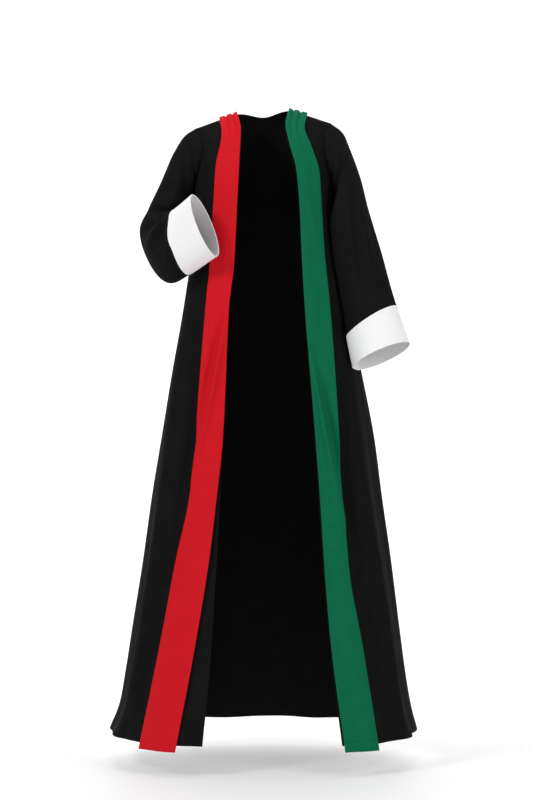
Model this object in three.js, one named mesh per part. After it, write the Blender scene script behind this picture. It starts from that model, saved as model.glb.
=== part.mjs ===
// An open-front abaya, worn: black fronts, back and wide sleeves, white cuffs, and a red and a green band
// that hang from the shoulder seams over the front edges.
//
// Millimetres. +Z is up, -Y the front and +X the garment's own left. The origin is between the two neck
// points, where the shoulders hold the garment up. Every piece is a thin wall on one surface of points.
import * as THREE from "three";

// Driving dimensions
const LENGTH = 1466; // neck point to hem
const UNDERARM = 228; // neck point to underarm
const WALL = 2; // the black cloth
const CUFF_WALL = 2.4; // a cuff is folded double
const BAND_WALL = 2; // so is a band
const SEAM = 0.3; // between two pieces that are sewn together
const LEAST_SQUARE = 0.3; // where a wall meets its seam at a slant, the least share of its way that opens the gap
const ARMHOLE_EASE = 0.42; // how far a sleeve is drawn back from its armhole, where the walls fold back on each other
const NECK_HALF = 62; // half the neck hole's width at the shoulder seams
const NAPE_RISE = 68; // where the back neckline crosses the middle, as the yoke's rise angle in degrees
const SQUARE = 0.8; // power of sine and cosine in a section: 1 is an ellipse, less is squarer
const SHOULDER_BACK = 6; // the shoulder seams lie this far behind the body's middle
const CHEST_POWER = 1.25; // how soon the chest leans back towards the shoulder seam
const BLADE_POWER = 0.9; // the same for the shoulder blades
const ARMHOLE_FRONT = 30; // how far an armhole cuts into the front, in degrees round the body
const ARMHOLE_BACK = 22;
const CUFF_DEPTH_ROWS = 2;

// Grid counts
const YOKE_ROWS = 10;
const SKIRT_ROWS = 20;
const FRONT_COLUMNS = 13;
const BACK_COLUMNS = 34;
const SLEEVE_STEPS = 2; // rows of wall between two rings of a sleeve
const BAND_COLUMNS = 8;

// Half widths and half depths of the body at drops below the neck point
const SECTIONS = [
  { drop: 228, right: 165, left: 166, front: 126, back: 112 },
  { drop: 330, right: 170, left: 183, front: 136, back: 120 },
  { drop: 450, right: 186, left: 202, front: 150, back: 134 },
  { drop: 610, right: 213, left: 230, front: 171, back: 158 },
  { drop: 770, right: 236, left: 258, front: 190, back: 182 },
  { drop: 905, right: 255, left: 273, front: 208, back: 202 },
  { drop: 1060, right: 273, left: 292, front: 229, back: 222 },
  { drop: 1210, right: 293, left: 307, front: 250, back: 242 },
  { drop: 1335, right: 309, left: 320, front: 266, back: 258 },
  { drop: 1400, right: 319, left: 329, front: 274, back: 267 },
  { drop: 1466, right: 342, left: 343, front: 284, back: 278 },
];

// Shoulder seam height across the body; the right shoulder is the lower one
const SHOULDERS = [
  { x: -160, z: -37 },
  { x: -62, z: -3 },
  { x: 0, z: 12 },
  { x: 62, z: 5 },
  { x: 160, z: -24 },
];

// How far each front edge lies from the middle
const FRONT_EDGES = [
  { drop: 0, right: 62, left: 62 },
  { drop: 48, right: 51, left: 52 },
  { drop: 130, right: 54, left: 73 },
  { drop: 185, right: 58, left: 84 },
  { drop: 342, right: 66, left: 90 },
  { drop: 450, right: 77, left: 95 },
  { drop: 770, right: 92, left: 120 },
  { drop: 1060, right: 107, left: 138 },
  { drop: 1335, right: 125, left: 163 },
  { drop: 1466, right: 137, left: 180 },
];

// Drape folds: a ridge runs from the angle "top" at drop "start" to the angle "hem" at the hem. Angles are
// degrees round the body from the front, over the left side; "bend" delays the swing towards the hem.
const FOLDS = [
  { name: "right_front", start: 380, top: -52, hem: -80, bend: 2.2, height: 15, width: 15 },
  { name: "right_edge", start: 700, top: -27, hem: -33, bend: 1, height: 9, width: 14 },
  { name: "right_side", start: 520, top: -95, hem: -101, bend: 1, height: 30, width: 17 },
  { name: "left_front", start: 420, top: 56, hem: 74, bend: 3, height: 15, width: 14 },
  { name: "left_edge", start: 760, top: 33, hem: 42, bend: 1, height: 8, width: 14 },
  { name: "left_side", start: 500, top: 92, hem: 96, bend: 1, height: 27, width: 16 },
  { name: "back_left_outer", start: 430, top: 116, hem: 123, bend: 1.4, height: 33, width: 15 },
  { name: "back_left_inner", start: 560, top: 146, hem: 151, bend: 1, height: 27, width: 13 },
  { name: "back_middle", start: 360, top: 172, hem: 177, bend: 1.6, height: 35, width: 15 },
  { name: "back_right_inner", start: 610, top: 200, hem: 203, bend: 1, height: 24, width: 12 },
  { name: "back_right_outer", start: 450, top: 230, hem: 229, bend: 1.3, height: 32, width: 15 },
];

// The sleeves' rings between armhole and mouth. "up" goes from the centre to the sleeve's outer line, which
// starts at the shoulder tip, and "front" to its front line. The last ring but one is the cuff's seam.
const LEFT_RINGS = [
  { name: "cap", centre: [185, 2, -143], up: [4, 0, 95], front: [0, -68, 0] },
  { name: "deltoid", centre: [190, -4, -173], up: [15, 0, 88], front: [0, -68, 2] },
  { name: "upper_arm", centre: [195, -22, -227], up: [32, 0, 71], front: [-2, -67, 4] },
  { name: "above_elbow", centre: [204, -44, -300], up: [47, 0, 58], front: [-3, -65, 7] },
  { name: "elbow", centre: [225, -58, -384], up: [54, 0, 47], front: [-4, -62, 10] },
  { name: "forearm", centre: [240, -64, -450], up: [58, -2, 41], front: [-4, -59, 13] },
  { name: "cuff_seam", centre: [253, -84, -500], up: [60, -3, 37], front: [-4, -57, 15] },
  { name: "mouth", centre: [276, -104, -578], up: [66, -4, 28], front: [-4, -57, 16] },
];
const RIGHT_RINGS = [
  { name: "cap", centre: [-184, 0, -146], up: [-2, 0, 90], front: [0, -68, 0] },
  { name: "deltoid", centre: [-195, -2, -168], up: [-16, 0, 72], front: [0, -72, 2] },
  { name: "upper_arm", centre: [-206, -4, -198], up: [-34, 2, 34], front: [-4, -76, 4] },
  { name: "above_elbow", centre: [-226, -6, -236], up: [-42, 12, 4], front: [-14, -72, 8] },
  { name: "elbow", centre: [-242, -24, -270], up: [-40, 38, -22], front: [-28, -50, 14] },
  { name: "under_elbow", centre: [-236, -54, -302], up: [-22, 44, -62], front: [-32, -46, 8] },
  { name: "forearm", centre: [-217, -92, -324], up: [-4, 24, -82], front: [-28, -46, 4] },
  { name: "cuff_seam", centre: [-190, -127, -315], up: [15, 5, -74], front: [-24, -48, 2] },
  { name: "mouth", centre: [-134, -178, -278], up: [27, 5, -70], front: [-17, -45, -3] },
];
const ARM_CLEARANCE = 5; // least way from the body's surface to a sleeve's, wall middle to wall middle

// The bands: how far their two long edges lie from the middle, and one long soft crease across each
const RED_BAND = {
  edges: [
    { drop: 0, inner: 62, outer: 104 },
    { drop: 48, inner: 52, outer: 97 },
    { drop: 125, inner: 55, outer: 110 },
    { drop: 228, inner: 60, outer: 116 },
    { drop: 367, inner: 67, outer: 124 },
    { drop: 450, inner: 77, outer: 132 },
    { drop: 770, inner: 92, outer: 157 },
    { drop: 896, inner: 105, outer: 168 },
    { drop: 1048, inner: 123, outer: 200 },
    { drop: 1234, inner: 153, outer: 235 },
    { drop: 1480, inner: 199, outer: 285 },
  ],
  crease: { from: 470, to: 850, height: 9, width: 0.36 },
};
const GREEN_BAND = {
  edges: [
    { drop: 0, inner: 62, outer: 106 },
    { drop: 40, inner: 53, outer: 98 },
    { drop: 84, inner: 61, outer: 114 },
    { drop: 142, inner: 77, outer: 132 },
    { drop: 228, inner: 85, outer: 137 },
    { drop: 342, inner: 90, outer: 144 },
    { drop: 450, inner: 96, outer: 155 },
    { drop: 770, inner: 121, outer: 177 },
    { drop: 905, inner: 131, outer: 185 },
    { drop: 1080, inner: 142, outer: 199 },
    { drop: 1236, inner: 155, outer: 227 },
    { drop: 1480, inner: 187, outer: 266 },
  ],
  crease: { from: 520, to: 1080, height: 10, width: 0.34 },
};
const BAND_OVERHANG = 15; // the bands end this far below the hem
const BAND_LIFT = 3; // a band hangs this far off the front, and meets it at the shoulder seam
const TUCK_LENGTH = 120; // the tucks at a band's top run out over this drop
const TUCK_HEIGHT = 4;
const TUCK_COLUMNS = [3, 6]; // the columns that lie in a valley between two tucks

const clamp = (v, low, high) => Math.min(high, Math.max(low, v));
const mix = (a, b, t) => a + (b - a) * t;
const smooth = (t) => t * t * (3 - 2 * t);
const radians = (degrees) => (degrees * Math.PI) / 180;
const power = (v, p) => Math.sign(v) * Math.abs(v) ** p;

// A smooth curve through one column of a table, straight beyond its ends and never overshooting a row.
function through(rows, across, along) {
  const x = rows.map((row) => row[across]);
  const y = rows.map((row) => row[along]);
  const slopes = x.slice(1).map((_, i) => (y[i + 1] - y[i]) / (x[i + 1] - x[i]));
  const tangents = x.map((_, i) => {
    if (i === 0) return slopes[0];
    if (i === x.length - 1) return slopes[i - 1];
    const product = slopes[i - 1] * slopes[i];
    return product <= 0 ? 0 : (2 * product) / (slopes[i - 1] + slopes[i]);
  });
  return (v) => {
    const last = x.length - 1;
    if (v <= x[0]) return y[0] + tangents[0] * (v - x[0]);
    if (v >= x[last]) return y[last] + tangents[last] * (v - x[last]);
    const i = x.findIndex((start, k) => v >= start && v < x[k + 1]);
    const width = x[i + 1] - x[i];
    const t = (v - x[i]) / width;
    const rise = y[i] * (1 + 2 * t) * (1 - t) ** 2 + y[i + 1] * t * t * (3 - 2 * t);
    return rise + width * (tangents[i] * t * (1 - t) ** 2 - tangents[i + 1] * t * t * (1 - t));
  };
}

const width = {
  right: through(SECTIONS, "drop", "right"),
  left: through(SECTIONS, "drop", "left"),
};
const depth = {
  front: through(SECTIONS, "drop", "front"),
  back: through(SECTIONS, "drop", "back"),
};
const shoulderHeight = through(SHOULDERS, "x", "z");
const shoulderTip = {
  right: -SHOULDERS[0].x,
  left: SHOULDERS[SHOULDERS.length - 1].x,
};
const frontEdge = {
  right: through(FRONT_EDGES, "drop", "right"),
  left: through(FRONT_EDGES, "drop", "left"),
};

const BISECTIONS = 24;
const sideOf = (angle) => (Math.sin(radians(angle)) < 0 ? "right" : "left");

// A level is 0 at the shoulder seam, 1 at the underarm and 2 at the hem.
const riseOf = (level) => radians(90 * clamp(1 - level, 0, 1));
function dropOf(level) {
  if (level >= 1) return mix(UNDERARM, LENGTH, level - 1);
  return UNDERARM * (1 - Math.sin(riseOf(level)));
}

// How far the drape folds lift the cloth off the plain section.
function foldHeight(angle, drop) {
  let height = 0;
  for (const fold of FOLDS) {
    const t = (drop - fold.start) / (LENGTH - fold.start);
    if (t <= 0) continue;
    const ridge = mix(fold.top, fold.hem, t ** fold.bend);
    const away = Math.abs(((angle - ridge + 540) % 360) - 180) / fold.width;
    if (away < 1) height += fold.height * t ** 1.2 * Math.cos((away * Math.PI) / 2) ** 2;
  }
  return height;
}

// A point of the body's cloth at an angle round the body and a level.
function bodyPoint(angle, level) {
  const side = sideOf(angle);
  const sine = Math.sin(radians(angle));
  const cosine = Math.cos(radians(angle));
  const face = cosine > 0 ? "front" : "back";
  if (level >= 1) {
    const drop = dropOf(level);
    const lift = foldHeight(angle, drop);
    return new THREE.Vector3(
      width[side](drop) * power(sine, SQUARE) + lift * sine,
      -depth[face](drop) * power(cosine, SQUARE) - lift * cosine,
      -drop,
    );
  }
  const rise = riseOf(level);
  const lean = Math.cos(rise) ** (face === "front" ? CHEST_POWER : BLADE_POWER);
  const half = mix(width[side](UNDERARM), shoulderTip[side], Math.sin(rise));
  const x = half * power(sine, SQUARE);
  return new THREE.Vector3(
    x,
    SHOULDER_BACK * Math.sin(rise) - depth[face](UNDERARM) * power(cosine, SQUARE) * lean,
    mix(-UNDERARM, shoulderHeight(x), Math.sin(rise)),
  );
}

// The way off the body's cloth at an angle and a level.
function bodyNormal(angle, level) {
  const step = 0.4;
  const sheer = 0.004;
  const across = bodyPoint(angle + step, level).sub(bodyPoint(angle - step, level));
  const down = bodyPoint(angle, level + sheer).sub(bodyPoint(angle, Math.max(level - sheer, 0)));
  return new THREE.Vector3().crossVectors(down, across).normalize();
}

// The angle at which the front's cloth, moved off by a height, lies x from the middle at a level.
function angleAt(x, level, side, off = 0) {
  const outward = side === "right" ? -1 : 1;
  let low = 5;
  let high = 85;
  for (let i = 0; i < BISECTIONS; i++) {
    const angle = (low + high) / 2;
    const point = bodyPoint(outward * angle, level);
    if (off) point.addScaledVector(bodyNormal(outward * angle, level), off);
    if (point.x * outward < x) low = angle;
    else high = angle;
  }
  return (outward * (low + high)) / 2;
}

// The angle of the armhole at a level, or of the side seam below it, on the left.
function armholeAngle(level, face) {
  if (level >= 1) return 90;
  const cut = Math.sin(2 * riseOf(level));
  return face === "front" ? 90 - ARMHOLE_FRONT * cut : 90 + ARMHOLE_BACK * cut;
}

// Levels of a panel's rows, from the shoulder seam down.
const panelLevels = [
  ...Array.from({ length: YOKE_ROWS }, (_, i) => i / YOKE_ROWS),
  ...Array.from({ length: SKIRT_ROWS + 1 }, (_, i) => 1 + i / SKIRT_ROWS),
];

// A grid holds a sheet's points and normals, row by row. A ring grid closes on itself across.
function gridOf(rows, columns, closed, pointAt) {
  const points = Array.from({ length: rows + 1 }, (_, r) =>
    Array.from({ length: closed ? columns : columns + 1 }, (_, c) => pointAt(r, c)),
  );
  return { points, closed, normals: normalsOf(points, closed) };
}

function normalsOf(points, closed) {
  return points.map((row, r) =>
    row.map((_, c) => {
      const before = closed ? row[(c + row.length - 1) % row.length] : row[Math.max(c - 1, 0)];
      const after = closed ? row[(c + 1) % row.length] : row[Math.min(c + 1, row.length - 1)];
      const above = points[Math.max(r - 1, 0)][c];
      const below = points[Math.min(r + 1, points.length - 1)][c];
      const across = new THREE.Vector3().subVectors(after, before);
      const down = new THREE.Vector3().subVectors(below, above);
      return new THREE.Vector3().crossVectors(down, across).normalize();
    }),
  );
}

// Pieces that meet in a joint, a list of grid places, share the normal between the first and the last one's.
function sew(joint) {
  const [first, last] = [joint[0], joint[joint.length - 1]].map(([grid, row, column]) => grid.normals[row][column]);
  const shared = first.clone().add(last).normalize();
  for (const [grid, row, column] of joint) grid.normals[row][column] = shared.clone();
}

// Draws a sewn edge back, towards the sheet's next row or column, until the gap is open square to the wall's
// end.
function drawBack(grid, edge, rowStep, columnStep, gap = SEAM / 2) {
  const before = edge.map(([, row, column]) => grid.points[row][column].clone());
  edge.forEach(([, row, column], i) => {
    const point = grid.points[row][column];
    const along = before[Math.min(i + 1, edge.length - 1)].clone().sub(before[Math.max(i - 1, 0)]);
    const square = along.cross(grid.normals[row][column]).normalize();
    const inward = grid.points[row + rowStep][column + columnStep].clone().sub(point).normalize();
    point.addScaledVector(inward, gap / Math.max(Math.abs(inward.dot(square)), LEAST_SQUARE));
  });
}

// Lists of grid places along one edge.
const columnEdge = (grid, column, from, to) =>
  Array.from({ length: to - from + 1 }, (_, i) => [grid, from + i, column]);
const rowEdge = (grid, row) => grid.points[row].map((_, column) => [grid, row, column]);

// A closed wall round a grid: outer face, inner face and the rims between them.
function wall(grid, thickness) {
  const rows = grid.points.length;
  const columns = grid.points[0].length;
  const positions = [];
  for (const side of [1, -1])
    grid.points.forEach((row, r) =>
      row.forEach((point, c) => {
        const moved = point.clone().addScaledVector(grid.normals[r][c], (side * thickness) / 2);
        positions.push(moved.x, moved.y, moved.z);
      }),
    );
  const outer = (r, c) => r * columns + (c % columns);
  const inner = (r, c) => rows * columns + outer(r, c);
  const faces = [];
  const quad = (a, b, c, d) => faces.push(a, b, c, a, c, d);
  const spans = grid.closed ? columns : columns - 1;
  for (let r = 0; r < rows - 1; r++)
    for (let c = 0; c < spans; c++) {
      quad(outer(r, c), outer(r + 1, c), outer(r + 1, c + 1), outer(r, c + 1));
      quad(inner(r, c), inner(r, c + 1), inner(r + 1, c + 1), inner(r + 1, c));
    }
  for (let c = 0; c < spans; c++) {
    quad(outer(0, c), outer(0, c + 1), inner(0, c + 1), inner(0, c));
    quad(outer(rows - 1, c + 1), outer(rows - 1, c), inner(rows - 1, c), inner(rows - 1, c + 1));
  }
  if (!grid.closed)
    for (let r = 0; r < rows - 1; r++) {
      quad(outer(r + 1, 0), outer(r, 0), inner(r, 0), inner(r + 1, 0));
      quad(outer(r, columns - 1), outer(r + 1, columns - 1), inner(r + 1, columns - 1), inner(r, columns - 1));
    }
  const geometry = new THREE.BufferGeometry();
  geometry.setAttribute("position", new THREE.Float32BufferAttribute(positions, 3));
  geometry.setIndex(faces);
  geometry.computeVertexNormals();
  return geometry;
}

// A front panel, its columns from the front edge to the side on the right, and from side to edge on the left.
function frontPanel(side) {
  return gridOf(panelLevels.length - 1, FRONT_COLUMNS, false, (r, c) => {
    const level = panelLevels[r];
    const edge = angleAt(frontEdge[side](dropOf(level)), level, side);
    const seam = (side === "right" ? -1 : 1) * armholeAngle(level, "front");
    const share = c / FRONT_COLUMNS;
    return bodyPoint(side === "right" ? mix(seam, edge, share) : mix(edge, seam, share), level);
  });
}

// The back, from the left side seam over the back to the right one.
function backPanel() {
  return gridOf(panelLevels.length - 1, BACK_COLUMNS, false, (r, c) => {
    const share = c / BACK_COLUMNS;
    const top = bodyPoint(mix(90, 270, share), 0);
    const reach = clamp(Math.abs(top.x) / NECK_HALF, 0, 1);
    const neckline = 1 - mix(NAPE_RISE, 90, reach ** 2) / 90;
    const level = panelLevels[r] < 1 ? mix(neckline, 1, panelLevels[r]) : panelLevels[r];
    const seam = armholeAngle(level, "back");
    return bodyPoint(mix(seam, 360 - seam, share), level);
  });
}

// The armhole of one side, as the points of the panels' edges: over the shoulder tip, down the front to the
// underarm and up the back again.
function armhole(front, back, frontColumn, backColumn) {
  const down = columnEdge(front, frontColumn, 0, YOKE_ROWS);
  const up = columnEdge(back, backColumn, 1, YOKE_ROWS - 1).reverse();
  return [...down, ...up];
}

// A sleeve ring's point. turn runs from the outer line over the front line.
function ringPoint(ring, turn) {
  const point = new THREE.Vector3(...ring.centre);
  point.addScaledVector(new THREE.Vector3(...ring.up), Math.cos(turn));
  return point.addScaledVector(new THREE.Vector3(...ring.front), Math.sin(turn));
}

// Moves a sleeve's point out of the body, where it hangs against it.
function clearOfBody(point) {
  const drop = -point.z;
  if (drop < UNDERARM * 0.5) return point;
  const level = drop >= UNDERARM ? 1 + (drop - UNDERARM) / (LENGTH - UNDERARM) : 0;
  const side = point.x < 0 ? "right" : "left";
  const face = point.y < 0 ? "front" : "back";
  const half = width[side](Math.max(drop, UNDERARM));
  const deep = depth[face](Math.max(drop, UNDERARM));
  const size = (Math.abs(point.x) / half) ** (2 / SQUARE) + (Math.abs(point.y) / deep) ** (2 / SQUARE);
  const share = size ** (SQUARE / 2);
  const reach = Math.hypot(point.x, point.y);
  const sine = (Math.abs(point.x) / (half * share)) ** (1 / SQUARE);
  const turn = (Math.asin(clamp(sine, 0, 1)) * 180) / Math.PI;
  const angle = (side === "right" ? -1 : 1) * (face === "front" ? turn : 180 - turn);
  const lift = level > 1 ? foldHeight((angle + 360) % 360, drop) : 0;
  const least = reach / share + lift + ARM_CLEARANCE;
  if (reach < least) {
    point.x *= least / reach;
    point.y *= least / reach;
  }
  return point;
}

// Rows of a sleeve and its cuff: the armhole first, then curves through the rings.
function sleeveRows(hole, rings, side) {
  const outward = side === "right" ? -1 : 1;
  const columns = hole.length;
  const knots = [hole.map(([grid, r, c]) => grid.points[r][c].clone())];
  for (const ring of rings)
    knots.push(
      Array.from({ length: columns }, (_, c) => ringPoint(ring, (2 * Math.PI * c) / columns)),
    );
  const curves = Array.from(
    { length: columns },
    (_, c) => new THREE.CatmullRomCurve3(knots.map((ring) => ring[c]), false, "centripetal"),
  );
  const last = knots.length - 1;
  const count = last * SLEEVE_STEPS;
  const rowAt = (r) => curves.map((curve) => curve.getPoint(r / count));
  const rows = [knots[0], ...Array.from({ length: count }, (_, r) => rowAt(r + 1).map(clearOfBody))];
  // Seen from outside, the columns of every sheet run the same way round as on the panels.
  return outward > 0 ? rows.map((row) => [row[0], ...row.slice(1).reverse()]) : rows;
}

// A sleeve and its cuff, which start from one armhole.
function sleeveAndCuff(hole, rings, side) {
  const rows = sleeveRows(hole, rings, side);
  const seamRow = rows.length - 1 - CUFF_DEPTH_ROWS;
  const columns = hole.length;
  const whole = gridOf(rows.length - 1, columns, true, (r, c) => rows[r][c]);
  const part = (from, to) => ({
    closed: true,
    points: whole.points.slice(from, to + 1).map((row) => row.map((p) => p.clone())),
    normals: whole.normals.slice(from, to + 1).map((row) => row.map((n) => n.clone())),
  });
  return { sleeve: part(0, seamRow), cuff: part(seamRow, rows.length - 1) };
}

// A band over one front: the front's own points, moved out, between the band's two edges.
function band(side, plan) {
  const inner = through(plan.edges, "drop", "inner");
  const outer = through(plan.edges, "drop", "outer");
  const end = 1 + (LENGTH + BAND_OVERHANG - UNDERARM) / (LENGTH - UNDERARM);
  const levels = [...panelLevels, end];
  return gridOf(levels.length - 1, BAND_COLUMNS, false, (r, c) => {
    const level = levels[r];
    const drop = dropOf(level);
    // share is 0 at the outer edge and 1 at the inner one
    const share = (side === "right" ? c : BAND_COLUMNS - c) / BAND_COLUMNS;
    const { from, to, height, width: creaseWidth } = plan.crease;
    const along = (drop - from) / (to - from);
    const away = Math.abs(share - (1 - along)) / creaseWidth;
    const crease = away < 1 ? height * Math.sin(Math.PI * clamp(along, 0, 1)) * (1 - smooth(away)) : 0;
    const fade = clamp(1 - drop / TUCK_LENGTH, 0, 1);
    const tuck = TUCK_COLUMNS.includes(Math.round(share * BAND_COLUMNS)) ? 0 : TUCK_HEIGHT * smooth(fade);
    const hang = BAND_LIFT * smooth(clamp(drop / TUCK_LENGTH, 0, 1));
    const off = (WALL + BAND_WALL) / 2 + SEAM + hang + tuck + crease;
    const angle = angleAt(mix(outer(drop), inner(drop), share), level, side, off);
    return bodyPoint(angle, level).addScaledVector(bodyNormal(angle, level), off);
  });
}

const cloth = {
  black: new THREE.MeshStandardMaterial({ color: 0x141416, roughness: 0.88, metalness: 0 }),
  white: new THREE.MeshStandardMaterial({ color: 0xf1f1f2, roughness: 0.8, metalness: 0 }),
  red: new THREE.MeshStandardMaterial({ color: 0xc8141e, roughness: 0.82, metalness: 0 }),
  green: new THREE.MeshStandardMaterial({ color: 0x0d6b45, roughness: 0.82, metalness: 0 }),
};

// The sheets
const frontRight = frontPanel("right");
const frontLeft = frontPanel("left");
const back = backPanel();
const holeRight = armhole(frontRight, back, 0, BACK_COLUMNS);
const holeLeft = armhole(frontLeft, back, FRONT_COLUMNS, 0);
const right = sleeveAndCuff(holeRight, RIGHT_RINGS, "right");
const left = sleeveAndCuff(holeLeft, LEFT_RINGS, "left");

// Along the shoulder seams a front's wall and the back's both end upright.
for (const grid of [frontRight, frontLeft, back])
  grid.points[0].forEach((point, c) => {
    if (Math.abs(point.x) > NECK_HALF - 1) grid.normals[0][c].setY(0).normalize();
  });

// Side seams, armholes and cuff seams share normals. The back joins in at an armhole's two ends.
const lastRow = panelLevels.length - 1;
const joints = [];
for (const [front, frontColumn, backColumn, hole, { sleeve, cuff }] of [
  [frontRight, 0, BACK_COLUMNS, holeRight, right],
  [frontLeft, FRONT_COLUMNS, 0, holeLeft, left],
]) {
  for (let r = YOKE_ROWS + 1; r <= lastRow; r++) joints.push([[front, r, frontColumn], [back, r, backColumn]]);
  const round = hole.length;
  hole.forEach((place, c) => {
    const sleeveColumn = front === frontLeft ? (round - c) % round : c;
    const corner = c === 0 || c === YOKE_ROWS ? [[back, c, backColumn]] : [];
    joints.push([place, ...corner, [sleeve, 0, sleeveColumn]]);
    joints.push([[sleeve, sleeve.points.length - 1, c], [cuff, 0, c]]);
  });
}
joints.forEach(sew);

drawBack(frontRight, columnEdge(frontRight, 0, 0, lastRow), 0, 1);
drawBack(frontLeft, columnEdge(frontLeft, FRONT_COLUMNS, 0, lastRow), 0, -1);
drawBack(back, columnEdge(back, 0, 0, lastRow), 0, 1);
drawBack(back, columnEdge(back, BACK_COLUMNS, 0, lastRow), 0, -1);
for (const grid of [frontRight, frontLeft, back]) drawBack(grid, rowEdge(grid, 0), 1, 0);
for (const { sleeve, cuff } of [right, left]) {
  drawBack(sleeve, rowEdge(sleeve, 0), 1, 0, ARMHOLE_EASE);
  drawBack(sleeve, rowEdge(sleeve, sleeve.points.length - 1), -1, 0);
  drawBack(cuff, rowEdge(cuff, 0), 1, 0);
}

const abaya = new THREE.Group();
abaya.name = "abaya";
function addPiece(name, grid, thickness, material) {
  const piece = new THREE.Mesh(wall(grid, thickness), material);
  piece.name = name;
  abaya.add(piece);
}
addPiece("back", back, WALL, cloth.black);
addPiece("front_right", frontRight, WALL, cloth.black);
addPiece("front_left", frontLeft, WALL, cloth.black);
addPiece("sleeve_right", right.sleeve, WALL, cloth.black);
addPiece("sleeve_left", left.sleeve, WALL, cloth.black);
addPiece("cuff_right", right.cuff, CUFF_WALL, cloth.white);
addPiece("cuff_left", left.cuff, CUFF_WALL, cloth.white);
addPiece("band_red", band("right", RED_BAND), BAND_WALL, cloth.red);
addPiece("band_green", band("left", GREEN_BAND), BAND_WALL, cloth.green);

export default abaya;
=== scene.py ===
# %% [markdown]
# An open-front abaya, as it hangs when worn: a black robe of crepe with wide sleeves, white cuffs, and a red
# and a green band that hang from the shoulder seams over the two front edges. Every piece of the robe is one
# sheet of cloth, so the whole lesson is about turning a few measured lines into sheets with believable folds.
# The measured model comes first. Its parts are kept, hidden, once the cloth has replaced them.

# %% Load the measured model
import math
import bpy
import numpy as np
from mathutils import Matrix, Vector


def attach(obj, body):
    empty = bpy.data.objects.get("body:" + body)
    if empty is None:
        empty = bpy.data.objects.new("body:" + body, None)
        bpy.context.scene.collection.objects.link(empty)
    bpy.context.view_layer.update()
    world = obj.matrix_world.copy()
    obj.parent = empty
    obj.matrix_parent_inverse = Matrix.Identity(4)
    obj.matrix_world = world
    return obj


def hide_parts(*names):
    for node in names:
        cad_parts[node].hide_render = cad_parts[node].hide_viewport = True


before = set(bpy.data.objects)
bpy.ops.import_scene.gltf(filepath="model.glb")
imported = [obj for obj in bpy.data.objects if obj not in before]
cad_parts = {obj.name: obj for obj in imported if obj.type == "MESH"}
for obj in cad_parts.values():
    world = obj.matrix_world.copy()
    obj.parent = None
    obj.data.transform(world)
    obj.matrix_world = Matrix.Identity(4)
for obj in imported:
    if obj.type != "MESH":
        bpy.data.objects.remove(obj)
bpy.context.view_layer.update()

# %% [markdown]
# Cloth is described best by the lines a pattern cutter uses: half widths and depths at several heights, the
# shoulder line, the front edges and the folds. The tables are in millimetres, with one column per measure.
# A smooth curve through a column must not overshoot, or a skirt would bulge between two measured heights.

# %% Tables of the body
LENGTH = 1466  # neck point to hem
UNDERARM = 228  # neck point to underarm
NECK_HALF = 62  # middle to neck point
SHOULDER_TIP = 160  # middle to the end of the shoulder seam
SHOULDER_BACK = 6  # how far the shoulder seams lie behind the neck points
NAPE_RISE = 68  # the neckline's rise at the nape, in degrees, where the shoulder seam has 90
SQUARE = 0.8  # a power that squares the corners of the oval below the chest
CHEST_POWER = 1.25  # how the cloth leans in over the chest
BLADE_POWER = 0.9  # how it leans in over the shoulder blades
ARMHOLE_FRONT = 30  # degrees that the armhole takes out of the front
ARMHOLE_BACK = 22  # and out of the back

SECTIONS = {
    "drop": [228, 330, 450, 610, 770, 905, 1060, 1210, 1335, 1400, 1466],
    "right": [165, 170, 186, 213, 236, 255, 273, 293, 309, 319, 342],
    "left": [166, 183, 202, 230, 258, 273, 292, 307, 320, 329, 343],
    "front": [126, 136, 150, 171, 190, 208, 229, 250, 266, 274, 284],
    "back": [112, 120, 134, 158, 182, 202, 222, 242, 258, 267, 278],
}
SHOULDERS = {"x": [-160, -62, 0, 62, 160], "z": [-37, -3, 12, 5, -24]}
FRONT_EDGES = {
    "drop": [0, 48, 130, 185, 342, 450, 770, 1060, 1335, 1466],
    "right": [62, 51, 54, 58, 66, 77, 92, 107, 125, 137],
    "left": [62, 52, 73, 84, 90, 95, 120, 138, 163, 180],
}


def through(rows, across, along):
    """A smooth curve through one column of a table, straight beyond its ends."""
    x = np.array(rows[across], float)
    y = np.array(rows[along], float)
    slopes = np.diff(y) / np.diff(x)
    inner = slopes[:-1] * slopes[1:]
    total = slopes[:-1] + slopes[1:]
    bends = np.where(inner > 0, 2 * inner / np.where(total == 0, 1, total), 0)
    tangents = np.concatenate([slopes[:1], bends, slopes[-1:]])

    def curve(value):
        v = np.asarray(value, float)
        i = np.clip(np.searchsorted(x, v, side="right") - 1, 0, len(x) - 2)
        wide = x[i + 1] - x[i]
        t = np.clip((v - x[i]) / wide, 0, 1)
        rise = y[i] * (1 + 2 * t) * (1 - t) ** 2 + y[i + 1] * t * t * (3 - 2 * t)
        rise = rise + wide * (tangents[i] * t * (1 - t) ** 2 - tangents[i + 1] * t * t * (1 - t))
        rise = rise + tangents[0] * np.minimum(v - x[0], 0)
        return rise + tangents[-1] * np.maximum(v - x[-1], 0)

    return curve


half_right = through(SECTIONS, "drop", "right")
half_left = through(SECTIONS, "drop", "left")
depth_front = through(SECTIONS, "drop", "front")
depth_back = through(SECTIONS, "drop", "back")
shoulder_height = through(SHOULDERS, "x", "z")
print("hem is", round(float(half_right(LENGTH) + half_left(LENGTH))), "mm wide before its folds")

# %% [markdown]
# Below the chest the robe falls in cone folds. Each starts at some height, grows towards the hem and swings
# a little to the side. The table gives each fold's start, its angle round the robe at the top and at the hem,
# how late it bends from one to the other, its height, and its half width in degrees. Smaller ripples between
# the folds keep the surface from looking ruled.

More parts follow.
